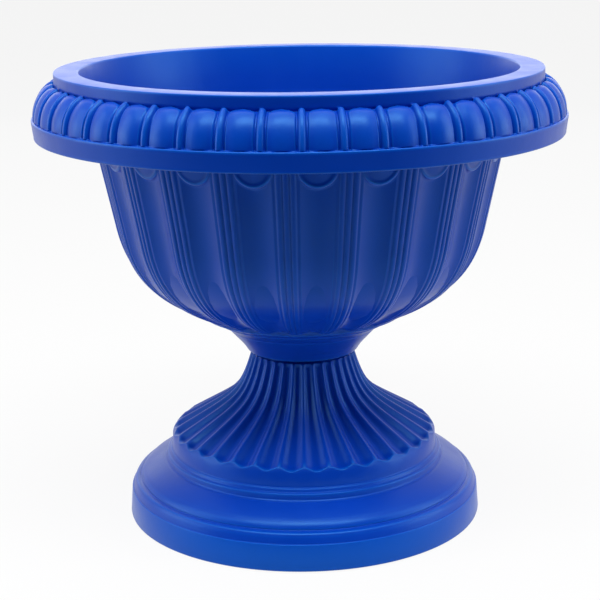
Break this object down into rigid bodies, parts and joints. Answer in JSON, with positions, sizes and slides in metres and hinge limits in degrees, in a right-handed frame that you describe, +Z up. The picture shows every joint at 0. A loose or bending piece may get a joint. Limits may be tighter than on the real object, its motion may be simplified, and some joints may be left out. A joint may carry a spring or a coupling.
{
  "type": "urn planter",
  "caption": "Round urn planter: a deep fluted bowl with a gadrooned rim, twist-locked onto a fluted pedestal, with a pull plug in its drain hole.",
  "frame": {"origin": "centre of the circle that the pedestal stands on, at ground level", "axes": "+Z up along the urn's axis, -Y towards the viewer of the front, +X to that viewer's right"},
  "size_m": [0.305, 0.305, 0.2647],
  "materials": {
    "blue_plastic": "satin moulded, coloured through"
  },
  "bodies": {
    "pedestal": {"pedestal": "blue_plastic"},
    "bowl": {"bowl": "blue_plastic"},
    "drain_plug": {"drain_plug": "blue_plastic"}
  },
  "joints": [
    {"name": "bowl_twist", "type": "hinge", "parent": "pedestal", "child": "bowl", "pos_m": [0, 0, 0.098], "axis": [0, 0, 1], "range_deg": [0, 30]},
    {"name": "plug_pull", "type": "slide", "parent": "bowl", "child": "drain_plug", "axis": [0, 0, 1], "range_m": [0, 0.18]}
  ]
}
